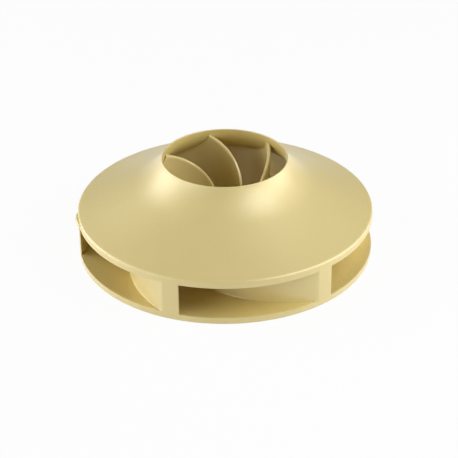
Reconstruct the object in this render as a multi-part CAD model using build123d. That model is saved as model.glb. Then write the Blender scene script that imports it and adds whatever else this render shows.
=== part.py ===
from build123d import *
import os
from math import cos, degrees, radians, sin, tan

# Closed radial pump impeller, cast in one piece. Millimetres.
# The shaft axis is +Z, the eye opens upwards and z = 0 is the flat back of the disc.
# Angles round the axis start at +Y and grow clockwise as seen from the eye.

# Envelope
outer_radius = 105.0
turning_allowance = 2.0  # cast outside the finished rim, then turned off
total_height = 70.0
outlet_width = 23.2  # free height between disc and shroud at the rim

# Disc and hub
disc_rim_thickness = 4.6
disc_root_thickness = 5.6
disc_root_radius = 72.0  # where the hub's flare runs out into the flat disc
hub_nose_height = 36.0
hub_nose_radius = 17.5
hub_nose_rounding = 2.0
hub_nose_slope = 78.0  # fall of the hub's flank just below the nose

# Shaft bore and keyway
bore_radius = 12.0
bore_chamfer = 1.0
key_width = 8.0
key_depth = 3.3  # how far the keyway reaches beyond the bore

# Shroud, a trumpet that runs up to a thin lip round the eye
shroud_rim_thickness = 4.8
shroud_wall = 4.4  # thickness square to the wall, at the throat
throat_radius = 65.0
throat_height = 50.2
throat_slope = 28.0
rim_slope = 19.5
eye_radius = 43.6
eye_land = 3.0  # straight bore just below the lip
lip_width = 1.0
lip_slope = 63.0

# Blades
blade_count = 6
first_blade_angle = 20.2
rim_blade_angle = 22.2  # between the blade and the rim's tangent
hub_blade_angle = 45.2  # the same at the blade's foot, beside the hub
lip_blade_angle = 43.9  # the same at the level of the lip
outlet_thickness = 5.0
inlet_thickness = 1.9
inlet_rounding = 0.8
inlet_foot_radius = 17.6
inlet_foot_height = 26.0
inlet_middle_radius = 27.5
inlet_middle_height = 51.2
inlet_top_height = 66.2
camber_steps = 12

# Cast lug left on the shroud's rim
lug_angle = -100.0
lug_length = 20.0
lug_height = 2.2
lug_setback = 0.6  # below the shroud's top skin and above its inner skin

cast_radius = outer_radius + turning_allowance
shroud_rim_bottom = disc_rim_thickness + outlet_width
shroud_rim_top = shroud_rim_bottom + shroud_rim_thickness


def around(radius, angle, height):
    """A point at an angle round the axis."""
    turn = radians(angle)
    return Vector(radius * sin(turn), radius * cos(turn), height)


def turned(*edges):
    """A solid of revolution from its half section, drawn as radius and height."""
    return revolve(Plane.XZ * make_face(edges), Axis.Z, 360)


def shroud_line(depth, top_height):
    """Half section of the shroud, from its outer skin (depth 0) to its inner skin (depth 1)."""
    lean = radians(throat_slope)
    rim_height = shroud_rim_top - depth * shroud_rim_thickness
    rim = (cast_radius, rim_height - turning_allowance * tan(radians(rim_slope)))
    throat = (
        throat_radius - depth * shroud_wall * sin(lean),
        throat_height - depth * shroud_wall * cos(lean),
    )
    lip = (eye_radius + (1 - depth) * lip_width, top_height)
    slopes = [rim_slope, throat_slope, lip_slope + depth * (90 - lip_slope)]
    tangents = [(-cos(radians(slope)), sin(radians(slope))) for slope in slopes]
    return Spline(rim, throat, lip, tangents=tangents)


def make_disc():
    """Disc and hub in one turned body, with the shaft bore."""
    rim = (cast_radius, disc_rim_thickness)
    root = (disc_root_radius, disc_root_thickness)
    shoulder = (hub_nose_radius, hub_nose_height - hub_nose_rounding)
    nose = (hub_nose_radius - hub_nose_rounding, hub_nose_height)
    back = Polyline(root, rim, (cast_radius, 0), (bore_radius, 0))
    bore = Polyline(back @ 1, (bore_radius, hub_nose_height - bore_chamfer),
                    (bore_radius + bore_chamfer, hub_nose_height), nose, shoulder)
    flank = (cos(radians(hub_nose_slope)), -sin(radians(hub_nose_slope)))
    slope = (cast_radius - disc_root_radius, disc_rim_thickness - disc_root_thickness)
    flare = Spline(shoulder, root, tangents=[flank, slope])
    return turned(back, bore, flare)


def make_shroud():
    outer = shroud_line(0, total_height)
    inner = shroud_line(1, total_height - eye_land)
    land = Line((eye_radius, total_height), inner @ 1)
    lip = Line(outer @ 1, land @ 0)
    return turned(outer, lip, land, inner, Line(inner @ 0, outer @ 0))


def inwards(radius):
    """Share of the way from the rim to the hub nose."""
    return (outer_radius - radius) / (outer_radius - hub_nose_radius)


def blade_angle(radius, inner_angle):
    return rim_blade_angle + inwards(radius) * (inner_angle - rim_blade_angle)


def blade_thickness(radius):
    return outlet_thickness + inwards(radius) * (inlet_thickness - outlet_thickness)


def blade_outline(height, inner_angle):
    """Plan outline of a blade at one height, stepped inwards along its camber line."""
    radius = outer_radius + outlet_thickness
    step = (radius - bore_radius) / camber_steps
    angle = -degrees(outlet_thickness / (outer_radius * tan(radians(rim_blade_angle))))
    convex = []
    concave = []
    for _ in range(camber_steps + 1):
        point = around(radius, angle, height)
        across = around(blade_thickness(radius) / 2, angle + blade_angle(radius, inner_angle), 0)
        convex.append(point + across)
        concave.append(point - across)
        middle = radius - step / 2
        angle += degrees(step / (middle * tan(radians(blade_angle(middle, inner_angle)))))
        radius -= step
    convex_side = Spline(*convex)
    concave_side = Spline(*concave)
    outer_end = Line(convex_side @ 0, concave_side @ 0)
    inner_end = Line(convex_side @ 1, concave_side @ 1)
    return make_face([convex_side, inner_end, concave_side, outer_end])


def make_blade_space():
    """Where a blade may be: between the walls' mid-planes, outside the inlet edge's sweep."""
    core = bore_radius + key_depth
    bed = disc_rim_thickness / 2
    ceiling = shroud_line(0.5, inlet_top_height)
    foot = (inlet_foot_radius, inlet_foot_height)
    inlet = ThreePointArc(foot, (inlet_middle_radius, inlet_middle_height), ceiling @ 1)
    floor = Polyline(ceiling @ 0, (cast_radius, bed), (core, bed),
                     (core, inlet_foot_height), foot)
    return Rot(0, 0, 180) * turned(ceiling, floor, inlet)  # its seam lies clear of the blade


def is_inlet_edge(edge):
    """Long edges of a blade that stay near the eye."""
    middle = edge @ 0.5
    near_eye = middle.X**2 + middle.Y**2 < eye_radius**2
    return near_eye and edge.length > inlet_middle_radius


def make_blade():
    """One blade, twisted between its outlines at the disc and at the lip."""
    lower = blade_outline(0, hub_blade_angle)
    upper = blade_outline(total_height, lip_blade_angle)
    blade = loft([lower, upper], ruled=True) & make_blade_space()
    return fillet(blade.edges().filter_by(is_inlet_edge), inlet_rounding)


def make_keyway():
    depth = bore_radius + key_depth
    return Box(depth, key_width, 2 * hub_nose_height, align=(Align.MIN, Align.CENTER, Align.CENTER))


def make_lug():
    """Low rounded pad that stands out of the shroud's rim."""
    reach = outer_radius + lug_height
    bow = (lug_length**2 / 4 + lug_height**2) / (2 * lug_height)
    thickness = shroud_rim_thickness - 2 * lug_setback
    middle = (shroud_rim_bottom + shroud_rim_top) / 2
    ring = Cylinder(reach, thickness) - Cylinder(outer_radius - lug_height / 2, thickness)
    pad = Pos(around(reach - bow, lug_angle, 0)) * Cylinder(bow, thickness)
    return Pos(0, 0, middle) * (pad & ring)


def make_impeller():
    blade = make_blade()
    pitch = 360 / blade_count
    blades = [Rot(0, 0, -first_blade_angle - i * pitch) * blade for i in range(blade_count)]
    casting = make_shroud() + blades
    casting += make_disc()
    casting &= Cylinder(outer_radius, 3 * total_height)
    casting -= make_keyway()
    return casting + make_lug()


os.makedirs("parts", exist_ok=True)
export_step(make_impeller(), "parts/impeller.step")
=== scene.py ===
import math

import bmesh
import bpy
import numpy as np
from mathutils import Matrix, Vector


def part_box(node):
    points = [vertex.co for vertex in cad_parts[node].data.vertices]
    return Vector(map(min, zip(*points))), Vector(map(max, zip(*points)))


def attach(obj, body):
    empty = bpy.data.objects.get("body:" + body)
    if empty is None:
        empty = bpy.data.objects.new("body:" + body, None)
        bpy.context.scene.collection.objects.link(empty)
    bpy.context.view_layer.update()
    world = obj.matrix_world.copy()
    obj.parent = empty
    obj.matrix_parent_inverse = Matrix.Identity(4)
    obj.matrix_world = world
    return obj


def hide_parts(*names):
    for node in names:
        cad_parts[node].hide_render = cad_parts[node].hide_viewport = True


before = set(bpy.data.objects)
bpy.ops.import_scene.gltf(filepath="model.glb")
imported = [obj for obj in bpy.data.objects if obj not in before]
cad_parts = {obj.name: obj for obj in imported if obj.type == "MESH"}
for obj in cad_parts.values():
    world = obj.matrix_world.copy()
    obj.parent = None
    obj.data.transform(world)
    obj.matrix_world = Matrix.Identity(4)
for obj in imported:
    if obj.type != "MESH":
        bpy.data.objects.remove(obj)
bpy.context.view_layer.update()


_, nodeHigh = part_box("impeller")
rimRadius = nodeHigh.y  # the disc, the blades and the shroud are turned to this radius
castHeight = nodeHigh.z
mm = 0.001
print("frame loaded, rim radius", round(rimRadius / mm, 2), "mm")


# Curves lie in the half section: columns are radius and height.

def smoothPath(points, slopes, steps=28):
    # slopes are directions in degrees, one at each point
    points = np.array(points, float)
    headings = np.array([(math.cos(math.radians(a)), math.sin(math.radians(a))) for a in slopes])
    stretches = []
    for i in range(len(points) - 1):
        chord = np.linalg.norm(points[i + 1] - points[i])
        t = np.linspace(0, 1, steps, endpoint=i == len(points) - 2)[:, None]
        start = (2 * t**3 - 3 * t**2 + 1) * points[i] + (t**3 - 2 * t**2 + t) * chord * headings[i]
        end = (3 * t**2 - 2 * t**3) * points[i + 1] + (t**3 - t**2) * chord * headings[i + 1]
        stretches.append(start + end)
    return np.vstack(stretches)


def arcPath(centre, radius, startAngle, endAngle, steps=8):
    turns = np.radians(np.linspace(startAngle, endAngle, steps))
    return np.c_[centre[0] + radius * np.cos(turns), centre[1] + radius * np.sin(turns)]


def turnProfile(name, profile, segments=288):
    # closed ring of the profile round the axis
    turns = np.linspace(0, 2 * math.pi, segments, endpoint=False)
    count = len(profile)
    radius, height = profile[:, 0], profile[:, 1]
    x = np.outer(np.cos(turns), radius)
    y = np.outer(np.sin(turns), radius)
    z = np.tile(height, (segments, 1))
    vertices = np.stack([x, y, z], axis=-1).reshape(-1, 3)
    faces = []
    for i in range(segments):
        this, after = i * count, ((i + 1) % segments) * count
        for j in range(count):
            k = (j + 1) % count
            faces.append((this + j, after + j, after + k, this + k))
    return meshObject(name, vertices, faces)


def meshObject(name, vertices, faces):
    mesh = bpy.data.meshes.new(name)
    mesh.from_pydata([tuple(v) for v in vertices], [], faces)
    mesh.update()
    thing = bpy.data.objects.new(name, mesh)
    bpy.context.scene.collection.objects.link(thing)
    faceOutwards(thing)
    return thing


def faceOutwards(thing):
    shell = bmesh.new()
    shell.from_mesh(thing.data)
    bmesh.ops.recalc_face_normals(shell, faces=shell.faces)
    if shell.calc_volume(signed=True) < 0:
        bmesh.ops.reverse_faces(shell, faces=shell.faces)
    shell.to_mesh(thing.data)
    shell.free()


def combine(base, tool, operation):
    step = base.modifiers.new(operation.lower(), "BOOLEAN")
    step.operation = operation
    step.solver = "MANIFOLD"
    step.object = tool
    settle(base)
    bpy.data.objects.remove(tool)
    return base


def settle(thing):
    # swap the object's mesh for what its modifiers make of it
    graph = bpy.context.evaluated_depsgraph_get()
    graph.update()
    finished = bpy.data.meshes.new_from_object(thing.evaluated_get(graph))
    thing.modifiers.clear()
    thing.data = finished


wallSizes = {
    "outletWidth": 23.2 * mm,
    "discRim": 4.6 * mm,
    "discRoot": 5.6 * mm,
    "discRootRadius": 72.0 * mm,
    "shroudRim": 4.8 * mm,
    "shroudWall": 4.4 * mm,
    "throat": (65.0 * mm, 50.2 * mm),
    "slopes": (19.5, 28.0, 63.0),  # at the rim, the throat and the lip
    "eyeRadius": 43.6 * mm,
    "lipWidth": 1.0 * mm,
    "eyeLand": 3.0 * mm,
    "noseHeight": 36.0 * mm,
    "noseRadius": 17.5 * mm,
    "noseRounding": 2.0 * mm,
    "noseSlope": 78.0,  # fall of the hub's flank just below the nose
    "boreRadius": 12.0 * mm,
    "boreChamfer": 1.0 * mm,
    "backSplit": 0.6,  # an edge ring on the flat back, in rim radii
    "allowance": 2.0 * mm,  # cast outside the finished rim, then turned off
}


def shroudSkin(depth, topHeight):
    # from the rim up to the eye: the outer skin at depth 0, the inner at depth 1
    s = wallSizes
    rimSlope, throatSlope, lipSlope = s["slopes"]
    rimHeight = s["discRim"] + s["outletWidth"] + s["shroudRim"] * (1 - depth)
    castRadius = rimRadius + s["allowance"]
    rim = (castRadius, rimHeight - s["allowance"] * math.tan(math.radians(rimSlope)))
    lean = math.radians(throatSlope)
    throat = (s["throat"][0] - depth * s["shroudWall"] * math.sin(lean),
              s["throat"][1] - depth * s["shroudWall"] * math.cos(lean))
    lip = (s["eyeRadius"] + (1 - depth) * s["lipWidth"], topHeight)
    headings = [180 - rimSlope, 180 - throatSlope, 180 - lipSlope - depth * (90 - lipSlope)]
    return smoothPath([rim, throat, lip], headings)


def passageCeiling():
    return shroudSkin(1, castHeight - wallSizes["eyeLand"])


def discTop():
    # from the nose's shoulder out to the rim
    s = wallSizes
    shoulder = (s["noseRadius"], s["noseHeight"] - s["noseRounding"])
    root = (s["discRootRadius"], s["discRoot"])
    rim = (rimRadius + s["allowance"], s["discRim"])
    fall = math.degrees(math.atan2(rim[1] - root[1], rim[0] - root[0]))
    flare = smoothPath([shoulder, root], [-s["noseSlope"], fall], steps=40)
    return np.vstack([flare, np.linspace(root, rim, num=12)[1:]])


def makeShroud():
    s = wallSizes
    half = s["lipWidth"] / 2
    outer = shroudSkin(0, castHeight - half)
    lip = arcPath((s["eyeRadius"] + half, castHeight - half), half, 0, 180)
    return turnProfile("shroud", np.vstack([outer[:-1], lip, passageCeiling()[::-1]]))


def makeDisc():
    s = wallSizes
    chamfer = s["boreChamfer"]
    nose = arcPath((s["noseRadius"] - s["noseRounding"], s["noseHeight"] - s["noseRounding"]),
                   s["noseRounding"], 90, 0)
    bore = [(s["boreRadius"], 0), (s["boreRadius"], s["noseHeight"] - chamfer),
            (s["boreRadius"] + chamfer, s["noseHeight"])]
    back = [(rimRadius + s["allowance"], 0), (rimRadius * s["backSplit"], 0)]
    return turnProfile("disc", np.vstack([discTop(), back, bore, nose[:-1]]))


bladeSizes = {
    "count": 6,
    "firstAngle": 20.2,  # degrees from +Y, clockwise from above
    "rimAngle": 22.2,  # between the blade and the rim's tangent
    "hubAngle": 45.2,  # the same beside the hub, at the level of the disc
    "lipAngle": 43.9,  # the same at the level of the lip
    "outletThickness": 5.0 * mm,
    "inletThickness": 1.9 * mm,
    "noseLength": 1.3,  # of the rounded inlet edge, in half thicknesses
    "rootFillet": 0.5 * mm,
    "filletFade": 6.0 * mm,  # from the inlet edge to the fillet's full size
    "edgeFillet": 0.45,  # share of the fillet that is left at the inlet edge
    "foot": (17.6 * mm, 26.0 * mm),  # radius and height on the inlet edge
    "middle": (27.5 * mm, 51.2 * mm),
    "topHeight": 66.2 * mm,
    "sink": 1.2 * mm,  # how far a blade reaches into the disc and the shroud
    "overrun": 0.9,  # how far it reaches past the rim, in turning allowances
    "clearance": 1.0 * mm,  # wall points this close to the inlet edge are left out
    "stations": 90,
    "levels": 36,
    "camberSteps": 800,
}


def inwards(radius):
    # share of the way from the rim to the hub's nose
    return (rimRadius - radius) / (rimRadius - wallSizes["noseRadius"])


def bladeAngle(radius, innerAngle):
    # radians between the blade and the rim's tangent; it opens evenly inwards
    rimAngle = bladeSizes["rimAngle"]
    return np.radians(rimAngle + inwards(radius) * (innerAngle - rimAngle))


def camberTurn(radii, innerAngle):
    # degrees that the camber line has turned on its way in from the rim
    fine = np.linspace(radii.max(), radii.min(), bladeSizes["camberSteps"])
    pace = 1 / (fine * np.tan(bladeAngle(fine, innerAngle)))
    turned = np.concatenate([[0], np.cumsum((pace[1:] + pace[:-1]) / 2 * -np.diff(fine))])
    turned -= np.interp(-rimRadius, -fine, turned)
    return np.degrees(np.interp(-radii, -fine, turned))


def arcThrough(a, b, c):
    # centre and radius of the circle through three points
    ax, ay, bx, by, cx, cy = *a, *b, *c
    d = 2 * (ax * (by - cy) + bx * (cy - ay) + cx * (ay - by))
    x = ((ax**2 + ay**2) * (by - cy) + (bx**2 + by**2) * (cy - ay) + (cx**2 + cy**2) * (ay - by)) / d
    y = ((ax**2 + ay**2) * (cx - bx) + (bx**2 + by**2) * (ax - cx) + (cx**2 + cy**2) * (bx - ax)) / d
    return x, y, math.hypot(ax - x, ay - y)


def wallGap(radius, height, wall):
    # nearest distance from points of the half section to a wall's line
    points = np.c_[radius.ravel(), height.ravel()]
    gaps = np.full(len(points), math.inf)
    for start, end in zip(wall[:-1], wall[1:]):
        run = end - start
        t = np.clip(((points - start) @ run) / (run @ run), 0, 1)
        gaps = np.minimum(gaps, np.linalg.norm(points - start - t[:, None] * run, axis=1))
    return gaps.reshape(radius.shape)


def resample(path, share):
    length = np.concatenate([[0], np.cumsum(np.linalg.norm(np.diff(path, axis=0), axis=1))])
    want = share * length[-1]
    return np.c_[np.interp(want, length, path[:, 0]), np.interp(want, length, path[:, 1])]


def inletEdge(level):
    # arc from the foot on the hub through the middle point to the shroud
    b, s = bladeSizes, wallSizes
    top = (s["eyeRadius"] + s["lipWidth"] / 2, b["topHeight"])
    centreR, centreZ, edgeRadius = arcThrough(b["foot"], b["middle"], top)
    start, end = [math.atan2(z - centreZ, r - centreR) % (2 * math.pi) for r, z in (b["foot"], top)]
    turn = start + (end - start) * level
    return centreR + edgeRadius * np.cos(turn), centreZ + edgeRadius * np.sin(turn)


def bladePatch(floor, ceiling):
    # rows run from disc to shroud, columns from the inlet edge to the rim
    b = bladeSizes
    sink = b["sink"]
    level = np.linspace(0, 1, b["levels"])
    along = np.linspace(0, 1, b["stations"])
    edgeR, edgeZ = inletEdge(level)
    rimR = rimRadius + wallSizes["allowance"] * b["overrun"]
    floorRim = np.interp(rimR, floor[:, 0], floor[:, 1]) - sink
    ceilRim = np.interp(rimR, ceiling[:, 0], ceiling[:, 1]) + sink
    rimZ = floorRim + (ceilRim - floorRim) * level
    onFloor = floor[floor[:, 0] > edgeR[0] + b["clearance"]] - (0, sink)
    inReach = (ceiling[:, 1] < b["topHeight"] - b["clearance"]) & (ceiling[:, 0] <= rimR)
    onCeiling = ceiling[inReach] + (0, sink)
    low = resample(np.vstack([(edgeR[0], edgeZ[0]), onFloor, (rimR, floorRim)]), along)
    high = resample(np.vstack([(edgeR[-1], edgeZ[-1]), onCeiling, (rimR, ceilRim)]), along)
    u, v = np.meshgrid(along, level)

    def fill(bottom, top, start, end):
        # between four borders; the corners come in twice, so they are taken off once
        return ((1 - v) * bottom + v * top + (1 - u) * start[:, None] + u * end[:, None]
                - (1 - u) * (1 - v) * start[0] - (1 - u) * v * start[-1]
                - u * (1 - v) * end[0] - u * v * end[-1])

    gridR = fill(low[:, 0], high[:, 0], edgeR, np.full(len(level), rimR))
    gridZ = fill(low[:, 1], high[:, 1], edgeZ, rimZ)
    fromEdge = np.hypot(gridR - edgeR[:, None], gridZ - edgeZ[:, None])
    return gridR, gridZ, fromEdge


def bladeHalf(gridR, gridZ, fromEdge, floor, ceiling):
    # half thickness: it rounds off at the inlet edge and swells into both walls
    b = bladeSizes
    half = (b["outletThickness"] + inwards(gridR) * (b["inletThickness"] - b["outletThickness"])) / 2
    nose = np.clip(fromEdge / (half * b["noseLength"]), 0, 1)
    half = half * np.sqrt(np.clip(1 - (1 - nose) ** 2, 0, 1))
    below = gridZ < np.interp(gridR, floor[:, 0], floor[:, 1])
    above = gridZ > np.interp(gridR, ceiling[:, 0], ceiling[:, 1], left=math.inf)
    gap = np.minimum(wallGap(gridR, gridZ, floor), wallGap(gridR, gridZ, ceiling))
    gap = np.where(below | above, 0, gap)
    bend = b["rootFillet"] * np.clip(fromEdge / b["filletFade"], b["edgeFillet"], 1)
    room = np.clip(bend - gap, 0, None)
    return half + np.where(half > 0, bend - np.sqrt(np.clip(bend**2 - room**2, 0, None)), 0)


def makeBlade():
    b, s = bladeSizes, wallSizes
    floor = np.vstack([(s["noseRadius"] - s["noseRounding"] / 2, s["noseHeight"]), discTop()])
    ceiling = np.vstack([(s["eyeRadius"], castHeight), passageCeiling()[::-1]])
    gridR, gridZ, fromEdge = bladePatch(floor, ceiling)
    half = bladeHalf(gridR, gridZ, fromEdge, floor, ceiling)
    lift = gridZ / castHeight
    turn = camberTurn(gridR, b["hubAngle"]) * (1 - lift) + camberTurn(gridR, b["lipAngle"]) * lift
    turns = np.radians(turn + b["firstAngle"])
    across = turns + bladeAngle(gridR, b["hubAngle"])
    sides = []
    for side in (1, -1):
        x = gridR * np.sin(turns) + side * half * np.sin(across)
        y = gridR * np.cos(turns) + side * half * np.cos(across)
        sides.append(np.stack([x, y, gridZ], axis=-1))
    return bladeShell(*sides)


def bladeShell(convex, concave):
    # both sides share the inlet edge, so the shell closes on it
    rows, columns = convex.shape[:2]
    vertices = np.vstack([convex.reshape(-1, 3), concave[:, 1:].reshape(-1, 3)])

    def front(i, j):
        return i * columns + j

    def rear(i, j):
        return i * columns if j == 0 else rows * columns + i * (columns - 1) + j - 1

    faces = []
    for i in range(rows - 1):
        for j in range(columns - 1):
            faces.append((front(i, j), front(i, j + 1), front(i + 1, j + 1), front(i + 1, j)))
            faces.append((rear(i, j), rear(i + 1, j), rear(i + 1, j + 1), rear(i, j + 1)))
        j = columns - 1
        faces.append((front(i, j), rear(i, j), rear(i + 1, j), front(i + 1, j)))
    for i in (0, rows - 1):
        for j in range(columns - 1):
            corners = [front(i, j), front(i, j + 1), rear(i, j + 1), rear(i, j)]
            faces.append(tuple(dict.fromkeys(corners)))
    return meshObject("blades", vertices, faces)


def bladeRing():
    # one blade in, the whole ring out
    tree = bpy.data.node_groups.new("bladeRing", "GeometryNodeTree")
    tree.interface.new_socket("Blade", in_out="INPUT", socket_type="NodeSocketGeometry")
    number = tree.interface.new_socket("Count", in_out="INPUT", socket_type="NodeSocketInt")
    finish = tree.interface.new_socket("Finish", in_out="INPUT", socket_type="NodeSocketMaterial")
    tree.interface.new_socket("Ring", in_out="OUTPUT", socket_type="NodeSocketGeometry")
    nodes, links = tree.nodes, tree.links
    source = nodes.new("NodeGroupInput")
    result = nodes.new("NodeGroupOutput")
    points = nodes.new("GeometryNodePoints")
    place = nodes.new("GeometryNodeInstanceOnPoints")
    index = nodes.new("GeometryNodeInputIndex")
    pitch = nodes.new("ShaderNodeMath")
    pitch.operation = "DIVIDE"
    pitch.inputs[0].default_value = 2 * math.pi
    angle = nodes.new("ShaderNodeMath")
    angle.operation = "MULTIPLY"
    turn = nodes.new("ShaderNodeCombineXYZ")
    solid = nodes.new("GeometryNodeRealizeInstances")
    paint = nodes.new("GeometryNodeSetMaterial")
    links.new(source.outputs["Count"], points.inputs["Count"])
    links.new(points.outputs[0], place.inputs["Points"])
    links.new(source.outputs["Blade"], place.inputs["Instance"])
    links.new(source.outputs["Count"], pitch.inputs[1])
    links.new(index.outputs[0], angle.inputs[0])
    links.new(pitch.outputs[0], angle.inputs[1])
    links.new(angle.outputs[0], turn.inputs["Z"])
    links.new(turn.outputs[0], place.inputs["Rotation"])
    links.new(place.outputs[0], solid.inputs[0])
    links.new(solid.outputs[0], paint.inputs["Geometry"])
    links.new(source.outputs["Finish"], paint.inputs["Material"])
    links.new(paint.outputs[0], result.inputs[0])
    return tree, number.identifier, finish.identifier


def makeBlades(finish):
    blade = makeBlade()
    tree, countSocket, finishSocket = bladeRing()
    ring = blade.modifiers.new("ring", "NODES")
    ring.node_group = tree
    ring[countSocket] = bladeSizes["count"]
    ring[finishSocket] = finish
    settle(blade)
    return blade


rimSizes = {
    "edgeRounding": 0.5 * mm,
    "shroudRounding": 1.5 * mm,  # at the top of the shroud's rim
    "roundingDrop": 0.8,  # how far it comes down the rim, in roundings
    "keyWidth": 8.0 * mm,
    "keyDepth": 3.3 * mm,  # how far the keyway reaches beyond the bore
    "keyEnds": (-10.0 * mm, 50.0 * mm),  # of the cutter, clear of the hub
    "lugAngle": -100.0,  # degrees from +Y, clockwise from above
    "lugLength": 20.0 * mm,
    "lugHeight": 2.0 * mm,
    "lugThickness": 3.6 * mm,
}


def turningEnvelope():
    # what the lathe leaves: everything inside the rim radius
    r, s = rimSizes, wallSizes
    edge, crown = r["edgeRounding"], r["shroudRounding"]
    core = 2 * mm  # a hole down the axis keeps the ring simple
    headroom = 10 * mm
    rimSlope = s["slopes"][0]
    top = s["discRim"] + s["outletWidth"] + s["shroudRim"]
    inside, above = rimRadius - crown, castHeight + headroom
    lower = arcPath((rimRadius - edge, edge), edge, -90, 0, steps=5)
    start = (rimRadius, top - crown * r["roundingDrop"])
    shoulder = (inside, top + crown * math.tan(math.radians(rimSlope)))
    upper = smoothPath([start, shoulder], [90, 180 - rimSlope], steps=9)
    profile = np.vstack([lower, upper, [(inside, above), (core, above), (core, 0)]])
    return turnProfile("envelope", profile, segments=480)


def boxObject(name, low, high):
    corners = [(x, y, z) for x in (low[0], high[0]) for y in (low[1], high[1]) for z in (low[2], high[2])]
    faces = [(0, 1, 3, 2), (4, 6, 7, 5), (0, 4, 5, 1), (2, 3, 7, 6), (0, 2, 6, 4), (1, 5, 7, 3)]
    return meshObject(name, corners, faces)


def makeKeyway():
    r = rimSizes
    bottom, top = r["keyEnds"]
    reach = wallSizes["boreRadius"] + r["keyDepth"]
    return boxObject("keyway", (0, -r["keyWidth"] / 2, bottom), (reach, r["keyWidth"] / 2, top))


def makeLug():
    # low rounded lump on the shroud's rim
    r, s = rimSizes, wallSizes
    rows, columns = 24, 40
    middle = s["discRim"] + s["outletWidth"] + s["shroudRim"] / 2
    centre = math.radians(r["lugAngle"])
    vertices = []
    for i in range(1, rows):
        up = math.pi * i / rows
        z = middle + r["lugThickness"] / 2 * math.cos(up)
        for j in range(columns):
            around = 2 * math.pi * j / columns
            radius = rimRadius + r["lugHeight"] * math.sin(up) * math.cos(around)
            turn = centre + r["lugLength"] / 2 * math.sin(up) * math.sin(around) / rimRadius
            vertices.append((radius * math.sin(turn), radius * math.cos(turn), z))
    for z in (middle + r["lugThickness"] / 2, middle - r["lugThickness"] / 2):
        vertices.append((rimRadius * math.sin(centre), rimRadius * math.cos(centre), z))
    faces = []
    for i in range(rows - 2):
        for j in range(columns):
            k = (j + 1) % columns
            faces.append((i * columns + j, i * columns + k, (i + 1) * columns + k, (i + 1) * columns + j))
    last = (rows - 2) * columns
    for j in range(columns):
        k = (j + 1) % columns
        faces.append(((rows - 1) * columns, k, j))
        faces.append(((rows - 1) * columns + 1, last + j, last + k))
    return meshObject("lug", vertices, faces)


toneSizes = {
    "skins": {
        # name: colour, share of it in the dull patches, roughness, depth of the sand grain
        "outerBronze": ((0.820, 0.672, 0.276), 0.95, 0.52, 0.18 * mm),
        # the passage colour is deeper and more saturated than the outer skin: painted shade inside the
        # passages; its coarser sand grain is real
        "passagePaintedShadeBronze": ((0.770, 0.610, 0.205), 0.92, 0.52, 0.30 * mm),
        "turnedBronze": ((0.820, 0.680, 0.285), 0.95, 0.42, 0.05 * mm),
    },
    "metallic": 0.1,
    "specular": 1.0,
    "coat": 0.9,
    "coatRoughness": 0.36,
    "mottle": 28.0,  # noise cells per metre
    "sandGrain": 1900.0,  # noise cells per metre
    "grainStrength": 0.35,
    "toolPitch": 1.2 * mm,  # between the lathe's marks
    "toolDepth": 0.02 * mm,
    "toolStrength": 0.2,
}


def setInputs(node, values):
    for name, value in values.items():
        node.inputs[name].default_value = value


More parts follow.
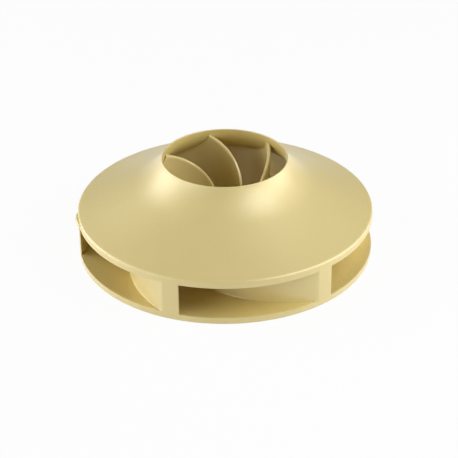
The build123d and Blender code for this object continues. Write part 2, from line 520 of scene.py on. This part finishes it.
def bronzeTone():
    # shared: slow colour drift, sand grain and the height for a bump
    tree = bpy.data.node_groups.new("bronzeTone", "ShaderNodeTree")
    inputs = {
        "Colour": "NodeSocketColor",
        "Dull Colour": "NodeSocketColor",
        "Mottle": "NodeSocketFloat",
        "Grain": "NodeSocketFloat",
        "Roughness": "NodeSocketFloat",
    }
    for name, kind in inputs.items():
        tree.interface.new_socket(name, in_out="INPUT", socket_type=kind)
    tree.interface.new_socket("Colour", in_out="OUTPUT", socket_type="NodeSocketColor")
    tree.interface.new_socket("Roughness", in_out="OUTPUT", socket_type="NodeSocketFloat")
    tree.interface.new_socket("Height", in_out="OUTPUT", socket_type="NodeSocketFloat")
    nodes, links = tree.nodes, tree.links
    source = nodes.new("NodeGroupInput")
    result = nodes.new("NodeGroupOutput")
    where = nodes.new("ShaderNodeTexCoord")

    def noise(scaleSocket, factor, detail, rough):
        scale = nodes.new("ShaderNodeMath")
        scale.operation = "MULTIPLY"
        scale.inputs[1].default_value = factor
        links.new(scaleSocket, scale.inputs[0])
        texture = nodes.new("ShaderNodeTexNoise")
        setInputs(texture, {"Detail": detail, "Roughness": rough})
        links.new(where.outputs["Object"], texture.inputs["Vector"])
        links.new(scale.outputs[0], texture.inputs["Scale"])
        return texture.outputs["Fac"]

    def span(value, fromRange, toRange):
        node = nodes.new("ShaderNodeMapRange")
        names = ("From Min", "From Max", "To Min", "To Max")
        setInputs(node, dict(zip(names, (*fromRange, *toRange))))
        links.new(value, node.inputs["Value"])
        return node.outputs[0]

    drift = noise(source.outputs["Mottle"], factor=1.0, detail=3.0, rough=0.55)
    speckle = noise(source.outputs["Mottle"], factor=14.0, detail=4.0, rough=0.6)
    grain = noise(source.outputs["Grain"], factor=1.0, detail=2.0, rough=0.5)
    pits = noise(source.outputs["Grain"], factor=0.24, detail=1.0, rough=0.4)
    patches = nodes.new("ShaderNodeMath")
    patches.operation = "MULTIPLY_ADD"
    patches.inputs[1].default_value = 0.35  # the speckle's share beside the drift
    links.new(speckle, patches.inputs[0])
    links.new(span(drift, (0.3, 0.7), (0.0, 0.65)), patches.inputs[2])
    blend = nodes.new("ShaderNodeMix")
    blend.data_type = "RGBA"
    links.new(patches.outputs[0], blend.inputs["Factor"])
    links.new(source.outputs["Colour"], blend.inputs["A"])
    links.new(source.outputs["Dull Colour"], blend.inputs["B"])
    links.new(blend.outputs["Result"], result.inputs["Colour"])
    rough = nodes.new("ShaderNodeMath")
    rough.operation = "ADD"
    links.new(source.outputs["Roughness"], rough.inputs[0])
    links.new(span(speckle, (0.3, 0.7), (-0.05, 0.07)), rough.inputs[1])
    links.new(rough.outputs[0], result.inputs["Roughness"])
    height = nodes.new("ShaderNodeMath")
    height.operation = "MULTIPLY_ADD"
    height.inputs[1].default_value = 0.5  # the grain's share beside the pits
    links.new(grain, height.inputs[0])
    links.new(span(pits, (0.28, 0.42), (0.0, 0.6)), height.inputs[2])
    links.new(height.outputs[0], result.inputs["Height"])
    return tree


def latheMarks():
    # rings on turned faces, from the distance to the axis plus the height
    tree = bpy.data.node_groups.new("latheMarks", "ShaderNodeTree")
    tree.interface.new_socket("Pitch", in_out="INPUT", socket_type="NodeSocketFloat")
    tree.interface.new_socket("Height", in_out="OUTPUT", socket_type="NodeSocketFloat")
    nodes, links = tree.nodes, tree.links
    source = nodes.new("NodeGroupInput")
    result = nodes.new("NodeGroupOutput")
    where = nodes.new("ShaderNodeTexCoord")
    flat = nodes.new("ShaderNodeVectorMath")
    flat.operation = "MULTIPLY"
    flat.inputs[1].default_value = (1, 1, 0)  # the height drops out
    length = nodes.new("ShaderNodeVectorMath")
    length.operation = "LENGTH"
    parts = nodes.new("ShaderNodeSeparateXYZ")
    links.new(where.outputs["Object"], flat.inputs[0])
    links.new(flat.outputs["Vector"], length.inputs[0])
    links.new(where.outputs["Object"], parts.inputs[0])

    def compute(operation, first, second):
        node = nodes.new("ShaderNodeMath")
        node.operation = operation
        for socket, value in zip(node.inputs, (first, second)):
            if isinstance(value, float):
                socket.default_value = value
            else:
                links.new(value, socket)
        return node.outputs[0]

    travel = compute("ADD", length.outputs["Value"], parts.outputs["Z"])
    share = compute("DIVIDE", travel, source.outputs["Pitch"])
    wave = compute("SINE", compute("MULTIPLY", share, 2 * math.pi), 0.0)
    links.new(compute("MULTIPLY", wave, 0.5), result.inputs["Height"])  # one, crest to trough
    return tree


def bronzeMaterial(name, tone, marks=None):
    t = toneSizes
    colour, dullShare, roughness, grainDepth = t["skins"][name]
    dull = [value * dullShare for value in colour]
    material = bpy.data.materials.new(name)
    material.use_nodes = True
    nodes, links = material.node_tree.nodes, material.node_tree.links
    shader = nodes["Principled BSDF"]
    setInputs(shader, {"Metallic": t["metallic"], "Specular IOR Level": t["specular"],
                       "Coat Weight": t["coat"], "Coat Roughness": t["coatRoughness"]})
    group = nodes.new("ShaderNodeGroup")
    group.node_tree = tone
    setInputs(group, {"Colour": (*colour, 1), "Dull Colour": (*dull, 1), "Mottle": t["mottle"],
                      "Grain": t["sandGrain"], "Roughness": roughness})
    bump = nodes.new("ShaderNodeBump")
    setInputs(bump, {"Strength": t["grainStrength"], "Distance": grainDepth})
    links.new(group.outputs["Height"], bump.inputs["Height"])
    links.new(group.outputs["Colour"], shader.inputs["Base Color"])
    links.new(group.outputs["Roughness"], shader.inputs["Roughness"])
    normal = bump.outputs["Normal"]
    if marks:
        rings = nodes.new("ShaderNodeGroup")
        rings.node_tree = marks
        setInputs(rings, {"Pitch": t["toolPitch"]})
        groove = nodes.new("ShaderNodeBump")
        setInputs(groove, {"Strength": t["toolStrength"], "Distance": t["toolDepth"]})
        links.new(rings.outputs["Height"], groove.inputs["Height"])
        links.new(normal, groove.inputs["Normal"])
        normal = groove.outputs["Normal"]
    links.new(normal, shader.inputs["Normal"])
    return material


tone = bronzeTone()
outerBronze = bronzeMaterial("outerBronze", tone)
# passage walls: painted shade in a deeper, more saturated colour, plus a coarser sand grain
passagePaintedShadeBronze = bronzeMaterial("passagePaintedShadeBronze", tone)
turnedBronze = bronzeMaterial("turnedBronze", tone, latheMarks())


def makeCasting():
    casting = makeShroud()
    combine(casting, makeBlades(outerBronze), "UNION")
    print("blades joined to the shroud")
    combine(casting, makeDisc(), "UNION")
    combine(casting, turningEnvelope(), "INTERSECT")
    combine(casting, makeKeyway(), "DIFFERENCE")
    combine(casting, makeLug(), "UNION")
    casting.name = "impellerCasting"
    casting.data.name = "impellerCasting"
    casting.data.calc_loop_triangles()
    print("casting has", len(casting.data.loop_triangles), "triangles")
    return casting


finishSizes = {
    "near": 0.4 * mm,  # a face this close to a wall's line belongs to the wall
    "downward": -0.9,  # the back's faces point down at least this much
    "sharpAngle": 32.0,
}


def finishFaces(casting):
    # turned in the bore and on the back; on the passage walls a coarser sand grain and a deeper, more
    # saturated colour that is painted shade of the passages; smooth cast skin elsewhere
    f, s = finishSizes, wallSizes
    mesh = casting.data
    mesh.materials.clear()
    for material in (outerBronze, passagePaintedShadeBronze, turnedBronze):
        mesh.materials.append(material)
    count = len(mesh.polygons)
    centres, normals = np.empty(count * 3), np.empty(count * 3)
    mesh.polygons.foreach_get("center", centres)
    mesh.polygons.foreach_get("normal", normals)
    x, y, z = centres.reshape(-1, 3).T
    radius = np.hypot(x, y)
    ceiling = np.vstack([passageCeiling(), (s["eyeRadius"], castHeight - s["lipWidth"])])
    gap = np.minimum(wallGap(radius, z, discTop()), wallGap(radius, z, ceiling))
    # faces on the passage walls, which get the painted passage shade
    onPaintedShadeWall = (gap < f["near"]) & (radius < rimRadius - rimSizes["edgeRounding"])
    onBore = radius < s["boreRadius"] + s["boreChamfer"]
    onBack = (z < f["near"] / 2) & (normals.reshape(-1, 3)[:, 2] < f["downward"])
    skin = np.where(onBore | onBack, 2, np.where(onPaintedShadeWall, 1, 0))
    mesh.polygons.foreach_set("material_index", skin.astype(np.int32))
    mesh.shade_smooth()
    mesh.set_sharp_from_angle(angle=math.radians(f["sharpAngle"]))
    mesh.polygons.foreach_set("use_smooth", ~onBack)


casting = makeCasting()
finishFaces(casting)
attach(casting, "root")
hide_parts("impeller")


studio = {
    "floorReach": 6.0,  # from the axis to each side
    "floorColour": 0.80,
    "floorRoughness": 0.9,
    "floorGlow": 0.95,  # share of plain white in what the camera and reflections see
    "worldStrength": 0.18,
    "lamps": {
        # name: azimuth from the front, elevation, size in metres, watts
        "leftSoftbox": (-105, 14, 1.0, 9.0),
        "leftFill": (-55, 5, 1.0, 5.4),
        "rightSoftbox": (65, 45, 0.8, 6.8),
        "rightFill": (95, 6, 1.0, 8.0),
    },
    "lampDistance": 1.1,
    "lampAim": 0.45,  # share of the casting's height
}


def makeFloor():
    side = studio["floorReach"]
    corners = [(-side, -side, 0), (side, -side, 0), (side, side, 0), (-side, side, 0)]
    floor = meshObject("floor", corners, [(0, 1, 2, 3)])
    material = bpy.data.materials.new("paleFloor")
    material.use_nodes = True
    nodes, links = material.node_tree.nodes, material.node_tree.links
    shader = nodes["Principled BSDF"]
    setInputs(shader, {"Base Color": (studio["floorColour"],) * 3 + (1,),
                       "Roughness": studio["floorRoughness"], "Specular IOR Level": 0})
    output = nodes["Material Output"]
    rays = nodes.new("ShaderNodeLightPath")
    seen = nodes.new("ShaderNodeMath")
    seen.operation = "MAXIMUM"
    share = nodes.new("ShaderNodeMath")
    share.operation = "MULTIPLY"
    share.inputs[1].default_value = studio["floorGlow"]
    glow = nodes.new("ShaderNodeEmission")
    mix = nodes.new("ShaderNodeMixShader")
    links.new(rays.outputs["Is Camera Ray"], seen.inputs[0])
    links.new(rays.outputs["Is Glossy Ray"], seen.inputs[1])
    links.new(seen.outputs[0], share.inputs[0])
    links.new(share.outputs[0], mix.inputs["Fac"])
    links.new(shader.outputs[0], mix.inputs[1])
    links.new(glow.outputs[0], mix.inputs[2])
    links.new(mix.outputs[0], output.inputs["Surface"])
    floor.data.materials.append(material)


def makeWorld():
    # plain white to the camera, and a weaker even light on everything else
    world = bpy.data.worlds.new("studio")
    bpy.context.scene.world = world
    world.use_nodes = True
    nodes, links = world.node_tree.nodes, world.node_tree.links
    light = nodes["Background"]
    setInputs(light, {"Color": (1, 1, 1, 1), "Strength": studio["worldStrength"]})
    white = nodes.new("ShaderNodeBackground")
    setInputs(white, {"Color": (1, 1, 1, 1), "Strength": 1})
    rays = nodes.new("ShaderNodeLightPath")
    mix = nodes.new("ShaderNodeMixShader")
    links.new(rays.outputs["Is Camera Ray"], mix.inputs["Fac"])
    links.new(light.outputs[0], mix.inputs[1])
    links.new(white.outputs[0], mix.inputs[2])
    links.new(mix.outputs[0], nodes["World Output"].inputs["Surface"])


def makeLamps():
    aim = Vector((0, 0, castHeight * studio["lampAim"]))
    for name, (azimuth, elevation, size, strength) in studio["lamps"].items():
        a, e = math.radians(azimuth), math.radians(elevation)
        lamp = bpy.data.lights.new(name, "AREA")
        lamp.shape = "DISK"
        lamp.size = size
        lamp.energy = strength
        holder = bpy.data.objects.new(name, lamp)
        bpy.context.scene.collection.objects.link(holder)
        outward = Vector((math.sin(a) * math.cos(e), -math.cos(a) * math.cos(e), math.sin(e)))
        holder.location = aim + studio["lampDistance"] * outward
        holder.rotation_euler = (aim - holder.location).to_track_quat("-Z", "Y").to_euler()


camera = {
    "distance": 9.6,  # in rim radii, from the point it looks at
    "targetHeight": 0.3,  # in rim radii
    "elevation": 29.41,
    "roll": -0.43,
    "lens": 110.84,
    "sensor": 36.0,
    "clipStart": 0.01,
    "shift": (0.0085, -0.0530),
}


def makeCamera():
    data = bpy.data.cameras.new("camera")
    data.lens = camera["lens"]
    data.sensor_width = camera["sensor"]
    data.shift_x, data.shift_y = camera["shift"]
    data.clip_start = camera["clipStart"]
    holder = bpy.data.objects.new("camera", data)
    bpy.context.scene.collection.objects.link(holder)
    lift = math.radians(camera["elevation"])
    reach = camera["distance"] * rimRadius
    target = camera["targetHeight"] * rimRadius
    holder.location = (0, -reach * math.cos(lift), target + reach * math.sin(lift))
    turn = Matrix.Rotation(math.pi / 2 - lift, 3, "X") @ Matrix.Rotation(math.radians(camera["roll"]), 3, "Z")
    holder.rotation_euler = turn.to_euler()
    bpy.context.scene.camera = holder


makeFloor()
makeWorld()
makeLamps()
makeCamera()
bpy.context.scene.view_settings.view_transform = "Standard"
print("studio ready")
